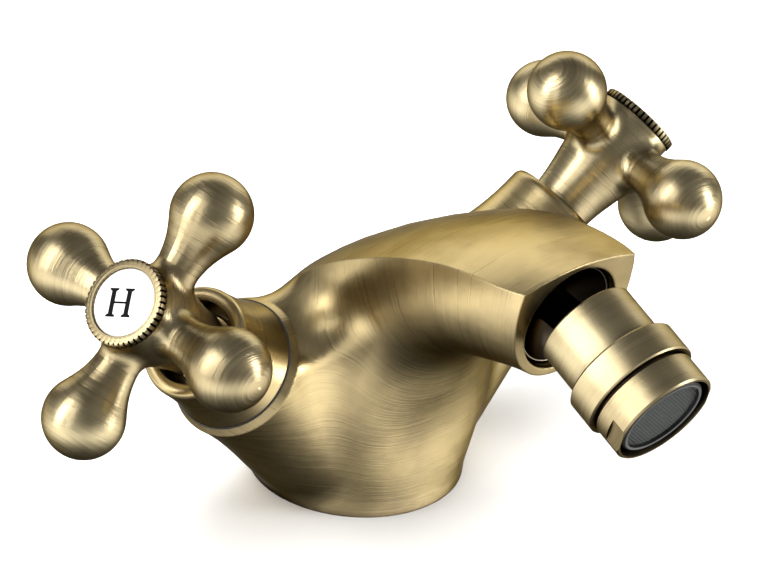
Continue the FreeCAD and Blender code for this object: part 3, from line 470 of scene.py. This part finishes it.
def grid_faces(rows, columns, wrap_rows=False):
    """Quads between neighbouring rows and columns of a grid of points whose columns close on themselves."""
    row = np.arange(rows if wrap_rows else rows - 1)[:, None]
    column = np.arange(columns)[None, :]
    below, beside = (row + 1) % rows, (column + 1) % columns
    corners = np.stack(np.broadcast_arrays(row * columns + column, row * columns + beside,
                                           below * columns + beside, below * columns + column), -1)
    return corners.reshape(-1, 4).tolist()


def turned_points(radius, level, angle):
    """Points turned about Z: radius times cosine, radius times sine, and level."""
    radius, level, angle = np.broadcast_arrays(radius, level, angle)
    return np.stack([radius * np.cos(angle), radius * np.sin(angle), level], -1).reshape(-1, 3)


def ring_surface(profile, steps=128):
    """Closed profile of radius and level, turned about Z."""
    profile = np.array(profile)
    angle = 2 * np.pi * np.arange(steps) / steps
    return turned_points(profile[:, :1], profile[:, 1:], angle), grid_faces(len(profile), steps, wrap_rows=True)


# Each row of the bezel's profile: radius, level, share of the groove's depth, painted shade in a groove, and painted
# shadow all round at the foot and on the inner faces.
BEZEL_ROWS = (
    (6.45, 88.50, 0.0, 1.0, 1.0),
    (7.55, 88.50, 0.0, 1.0, 1.0),
    (7.55, 91.10, 0.0, 1.0, 1.0),
    (8.95, 91.10, 1.0, 1.0, 1.0),
    (9.10, 91.25, 1.0, 1.0, 1.0),
    (9.10, 92.00, 1.0, 1.0, 0.3),
    (9.10, 92.60, 1.0, 1.0, 0.0),
    (9.02, 92.88, 0.9, 1.0, 0.0),
    (8.80, 93.04, 0.5, 0.8, 0.0),
    (8.50, 93.10, 0.0, 0.0, 0.0),
    (7.30, 93.10, 0.0, 0.0, 0.0),
    (7.15, 92.95, 0.0, 0.6, 0.0),
    (7.15, 91.65, 0.0, 1.0, 1.0),
    (6.45, 91.65, 0.0, 1.0, 1.0),
)


def bezel_surface(teeth, depth, steps=14):
    """Closed profile turned about Z, whose rim is pressed in by a raised cosine at each groove; with painted shade in
    the grooves and at the foot.
    """
    radius, level, share, dark, painted_foot_shadow = np.array(BEZEL_ROWS).T[:, :, None]
    angle = 2 * np.pi * np.arange(teeth * steps) / (teeth * steps)
    groove = np.clip(np.cos(angle * teeth) * 1.35 - 0.35, 0, 1) ** 0.8
    points = turned_points(radius - depth * share * groove, level, angle)
    # Painted shade in the grooves, and painted shadow all round at the foot and inner faces.
    shade = np.maximum(painted_foot_shadow, dark * groove ** 0.5)
    return points, grid_faces(len(radius), len(angle), wrap_rows=True), shade.reshape(-1)


def letter_h(height, width, serif_height):
    """Outline of an H: two stems with flat serifs, joined by a thin bar; a quarter of it, mirrored three times."""
    top, neck, foot = height / 2, height / 2 - serif_height - 0.3, height / 2 - serif_height
    stem, stem_place, serif, bar = width / 2, 0.31 * height, width, 0.21 * width
    quarter = np.array([(stem_place - stem, bar), (stem_place - stem, neck), (stem_place - serif, foot),
                        (stem_place - serif, top), (stem_place + serif, top), (stem_place + serif, foot),
                        (stem_place + stem, neck)])
    flip_y, flip_x = np.array([1, -1]), np.array([-1, 1])
    return np.concatenate([quarter, (quarter * flip_y)[::-1], quarter * flip_x * flip_y, (quarter * flip_x)[::-1]])


def letter_c(height, width):
    """Outline of a C: two ellipses, the inner one narrower and set to the right, joined by an upright serif above."""
    scale = height / 6
    turn = np.radians(np.linspace(40, 320, 57))
    outer = np.stack([2.6 * np.cos(turn), 3.0 * np.sin(turn)], -1) * scale
    inner_x = (2.4 * scale - width / 2) * np.cos(turn) + width / 2 - 0.2 * scale
    inner = np.stack([inner_x, 2.62 * scale * np.sin(turn)], -1)
    serif = np.array([(2.12, 0.95), (2.4, 0.95), (2.4, 2.95), (2.15, 2.95)]) * scale
    return np.concatenate([outer, inner[::-1], serif])


def letter_surface(outline, turn, centre):
    """Flat letter: its outline turned about Z, moved to its centre, and raised between two levels."""
    cosine, sine = math.cos(math.radians(turn)), math.sin(math.radians(turn))
    flat = outline @ np.array([(cosine, sine), (-sine, cosine)]) + np.array(centre)
    area = np.sum(flat[:, 0] * np.roll(flat[:, 1], -1) - np.roll(flat[:, 0], -1) * flat[:, 1])
    flat = flat if area > 0 else flat[::-1]
    count = len(flat)
    points = np.concatenate([np.c_[flat, np.full(count, level)] for level in (DISC_LEVEL, LETTER_LEVEL)])
    first = np.arange(count)
    second = (first + 1) % count
    walls = np.stack([first, second, second + count, first + count], -1).tolist()
    return points, [first[::-1].tolist(), (first + count).tolist()] + walls


def mesh_surface(radius, pitch, wire, level, sides=6):
    """Woven wires: each a tube along a chord of the disc whose level is a cosine, over one and under the next."""
    count = int(radius / pitch)
    offset = pitch * np.arange(-count, count + 1)
    chord = np.sqrt(radius ** 2 - offset ** 2)
    steps = 4 * count + 1
    along = chord[:, None] * np.linspace(-1, 1, steps)[None, :]
    ring_turn = 2 * np.pi * np.arange(sides) / sides
    tube = np.array(grid_faces(steps, sides))[:, ::-1]
    points, faces = [], []
    for way in (0, 1):
        phase = np.pi * (np.arange(len(offset)) + way)[:, None]
        height = level + 0.55 * wire * np.cos(np.pi * along / pitch + phase)
        across = offset[:, None, None] + wire / 2 * np.cos(ring_turn)
        across = np.broadcast_to(across, (len(offset), steps, sides))
        up = height[:, :, None] + wire / 2 * np.sin(ring_turn)
        run = np.broadcast_to(along[:, :, None], across.shape)
        plan = (run, across) if way == 0 else (-across, run)
        points.append(np.stack([plan[0], plan[1], up], -1).reshape(-1, 3))
        each = steps * sides * (np.arange(len(offset)) + way * len(offset))
        faces.append((tube[None] + each[:, None, None]).reshape(-1, 4))
    return np.concatenate(points), np.concatenate(faces).tolist()


class TAP_OT_bezels(bpy.types.Operator):
    """Knurled bezels round the index discs"""
    bl_idname = "tap.bezels"
    bl_label = "Knurled bezels"

    def execute(self, context):
        sizes = context.scene.tap_index
        points, faces, shade = bezel_surface(sizes.teeth, sizes.depth / MM)
        for side in SIDES:
            # The groove attribute carries the painted shade of the grooves and the foot.
            piece = add_mesh(f"{side}_bezel", points, faces, handle_frame(side), side + "_bezel", groove=shade)
            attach(piece, f"{side}_handle_set")
            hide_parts(f"{side}_index_bezel")
        return {"FINISHED"}


class TAP_OT_letters(bpy.types.Operator):
    """Letters on the index discs"""
    bl_idname = "tap.letters"
    bl_label = "Index letters"

    def execute(self, context):
        sizes = context.scene.tap_index
        height, stem = sizes.height / MM, sizes.stem / MM
        # Each letter: its outline, its turn on the disc in degrees, and its centre.
        letters = {"hot": (letter_h(height, stem, sizes.serif / MM), -64.5, (-0.45, 0.65)),
                   "cold": (letter_c(height, stem), 90.0, (0.0, 0.0))}
        for side, (outline, turn, centre) in letters.items():
            points, faces = letter_surface(outline, turn, centre)
            piece = add_mesh(f"{side}_letter", points, faces, handle_frame(side), "ink", smooth=0)
            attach(piece, f"{side}_handle_set")
        return {"FINISHED"}


class TAP_OT_aerator(bpy.types.Operator):
    """Woven mesh in the aerator and the lip round it"""
    bl_idname = "tap.aerator"
    bl_label = "Aerator mesh"

    def execute(self, context):
        sizes = context.scene.tap_aerator
        place = ball_frame(OUTLET_LEAN)
        points, faces = mesh_surface(sizes.radius / MM, sizes.pitch / MM, sizes.wire / MM, MESH_LEVEL)
        piece = add_mesh("woven_mesh", points, faces, place, "mesh")
        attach(piece, "outlet")
        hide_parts("aerator_mesh")
        points, faces = ring_surface([(8.75, 18.5), (9.3, 18.5), (9.3, 18.6), (9.2, 18.68), (8.9, 18.68),
                                      (8.75, 18.58)])
        piece = add_mesh("aerator_lip", points, faces, place, "lip")
        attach(piece, "outlet")
        return {"FINISHED"}


class TAP_OT_joints(bpy.types.Operator):
    """Thin dark rings under the shrouds that paint the shadow in the joint to the casting, and the rubbed rim of the
    stud's flange
    """
    bl_idname = "tap.joints"
    bl_label = "Sealing rings and flange rim"

    def execute(self, context):
        foot = SHROUD_FOOT
        # Thin dark ring under each shroud: painted shadow in the joint between shroud and casting.
        points, faces = ring_surface([(13.6, foot), (13.98, foot), (14.02, foot + 0.12), (13.95, foot + 0.26),
                                      (13.6, foot + 0.3)])
        for side in SIDES:
            piece = add_mesh(f"{side}_sealing_ring", points, faces, handle_frame(side), "rubber")
            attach(piece, "body")
        points, faces = ring_surface([(10.9, -13.1), (11.2, -13.1), (11.2, -12.76), (11.1, -12.68), (10.96, -12.74),
                                      (10.9, -12.9)])
        piece = add_mesh("flange_rim", points, faces, ball_frame(MOUTH_ANGLE), "rim")
        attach(piece, "body")
        return {"FINISHED"}


# ---------------------------------------------------------------------------------------------
# Stage
# ---------------------------------------------------------------------------------------------

FLOOR_REACH = 8.0
LIGHT_AIM = (0, -0.02, 0.04)
# Each light: its name, the setting that holds its power, its place and its size, in metres.
LIGHTS = (
    ("left_box", "left", (-1.02, 0.34, 0.62), (0.42, 1.3)),
    ("left_strip", "strip", (-1.12, -0.22, 0.66), (0.12, 1.3)),
    ("right_box", "right", (0.85, -1.0, 0.30), (0.4, 1.0)),
    ("back_box", "back", (0.87, 0.92, 0.48), (2.2, 1.1)),
    ("fill", "fill", (0, 0, 2.2), (2.4, 2.4)),
)
# Grey of the surround by height: 0 straight down, 0.5 level, 1 straight up.
SURROUND = ((0.0, 0.1), (0.13, 0.28), (0.24, 1.0), (0.40, 0.8), (0.5, 0.16), (0.6, 0.10), (1.0, 0.22))
# Brighter sides of the surround: the direction, how tight the brightness is round it, and how strong.
BRIGHT_SIDES = (((0.456, -0.89, 0), 1.8, 2.3), ((-0.95, 0.31, 0), 1.5, 2.5))
SURROUND_STRENGTH = 0.65
PICTURE_WIDTH, PICTURE_HEIGHT = 768, 586
# The photograph's view: bearing, rise and roll in degrees, distance in metres, focal length in pixels, and the
# pixel where the origin falls.
VIEW_ANGLES = (-42.891, 30.011, 4.49)
VIEW_DISTANCE = 0.951271
VIEW_FOCAL = 4421.999
VIEW_ORIGIN = (354.894, 458.573)
SENSOR_WIDTH = 36


def softbox(name, place, size, watts):
    """Rectangular area light at a place, aimed at the tap."""
    light = bpy.data.lights.new(name, "AREA")
    light.shape = "RECTANGLE"
    light.size, light.size_y = size
    light.energy = watts
    lamp = bpy.data.objects.new(name, light)
    turn = (Vector(LIGHT_AIM) - Vector(place)).to_track_quat("-Z", "Y").to_matrix().to_4x4()
    lamp.matrix_world = Matrix.Translation(place) @ turn
    bpy.context.scene.collection.objects.link(lamp)
    return lamp


class TAP_OT_stage(bpy.types.Operator):
    """Floor, light and camera"""
    bl_idname = "tap.stage"
    bl_label = "Stage"

    def execute(self, context):
        scene = context.scene
        scene.view_settings.view_transform = "Standard"
        self.floor(scene)
        self.surround(scene)
        for name, setting, place, size in LIGHTS:
            lamp = softbox(name, place, size, getattr(scene.tap_stage, setting))
            lamp.visible_glossy = name != "fill"
        self.camera(scene)
        return {"FINISHED"}

    def floor(self, scene):
        """Plain pale floor that the metal doesn't reflect."""
        mesh = bpy.data.meshes.new("floor")
        corners = [(x * FLOOR_REACH, y * FLOOR_REACH, 0) for x, y in ((-1, -1), (1, -1), (1, 1), (-1, 1))]
        mesh.from_pydata(corners, [], [(0, 1, 2, 3)])
        floor = bpy.data.objects.new("floor", mesh)
        scene.collection.objects.link(floor)
        board = Board(bpy.data.materials.new("pale_floor"))
        pale = tuple(scene.tap_stage.floor)
        tone = board.blend(board.noise(board.place(), 30.0), tuple(0.98 * c for c in pale), pale)
        mesh.materials.append(board.finish(Base_Color=tone, Roughness=0.6))
        floor.visible_glossy = False

    def surround(self, scene):
        """Surround seen in the metal: pale below, dark round the horizon, dim above, brighter to two sides."""
        scene.world = bpy.data.worlds.new("studio")
        board = Board(scene.world)
        place = board.node("ShaderNodeTexCoord", output="Generated")
        height = board.along(place, (0, 0, 1)) * 0.5 + 0.5
        tone = board.ramp(height, *((stop, (grey,) * 3) for stop, grey in SURROUND))
        strength = SURROUND_STRENGTH
        for direction, tightness, share in BRIGHT_SIDES:
            strength = board.calc("MAXIMUM", board.along(place, direction), 0.0) ** tightness * share + strength
        light = board.node("ShaderNodeBackground", None, {"Color": tone, "Strength": strength})
        board.node("ShaderNodeOutputWorld", None, {"Surface": light})

    def camera(self, scene):
        """Camera at the photograph's view: bearing, rise and roll about the tap, then a shift in the picture."""
        bearing, rise, roll = (math.radians(angle) for angle in VIEW_ANGLES)
        back = Vector((math.sin(bearing) * math.cos(rise), -math.cos(bearing) * math.cos(rise), math.sin(rise)))
        right = Vector((math.cos(bearing), math.sin(bearing), 0))
        up = back.cross(right)
        across = math.cos(roll) * right + math.sin(roll) * up
        upward = -math.sin(roll) * right + math.cos(roll) * up
        shift_x = (VIEW_ORIGIN[0] - PICTURE_WIDTH / 2) / VIEW_FOCAL * VIEW_DISTANCE
        shift_y = -(VIEW_ORIGIN[1] - PICTURE_HEIGHT / 2) / VIEW_FOCAL * VIEW_DISTANCE
        lens = bpy.data.cameras.new("camera")
        lens.sensor_width = SENSOR_WIDTH
        lens.lens = SENSOR_WIDTH * VIEW_FOCAL / PICTURE_WIDTH
        camera = bpy.data.objects.new("camera", lens)
        turn = Matrix((across, upward, back)).transposed().to_4x4()
        camera.matrix_world = Matrix.Translation(back * VIEW_DISTANCE - across * shift_x - upward * shift_y) @ turn
        scene.collection.objects.link(camera)
        scene.camera = camera


class TAP_PT_sidebar(bpy.types.Panel):
    """Panel that lists the steps and their settings"""
    bl_idname = "TAP_PT_sidebar"
    bl_label = "Tap"
    bl_space_type = "VIEW_3D"
    bl_region_type = "UI"
    bl_category = "Tap"

    def draw(self, context):
        for step in OPERATORS:
            self.layout.operator(step.bl_idname)
        for name, group in GROUPS.items():
            box = self.layout.box()
            for key in group.__annotations__:
                box.prop(getattr(context.scene, name), key)


OPERATORS = (TAP_OT_stage, TAP_OT_metal, TAP_OT_bezels, TAP_OT_letters, TAP_OT_aerator, TAP_OT_joints)
CLASSES = (*GROUPS.values(), *OPERATORS, TAP_PT_sidebar)


def register():
    for item in CLASSES:
        bpy.utils.register_class(item)
    for name, group in GROUPS.items():
        setattr(bpy.types.Scene, name, PointerProperty(type=group))


def unregister():
    for name in GROUPS:
        delattr(bpy.types.Scene, name)
    for item in reversed(CLASSES):
        bpy.utils.unregister_class(item)


def main():
    """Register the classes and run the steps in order."""
    register()
    for step in OPERATORS:
        group, name = step.bl_idname.split(".")
        getattr(getattr(bpy.ops, group), name)()


if __name__ == "__main__":
    main()
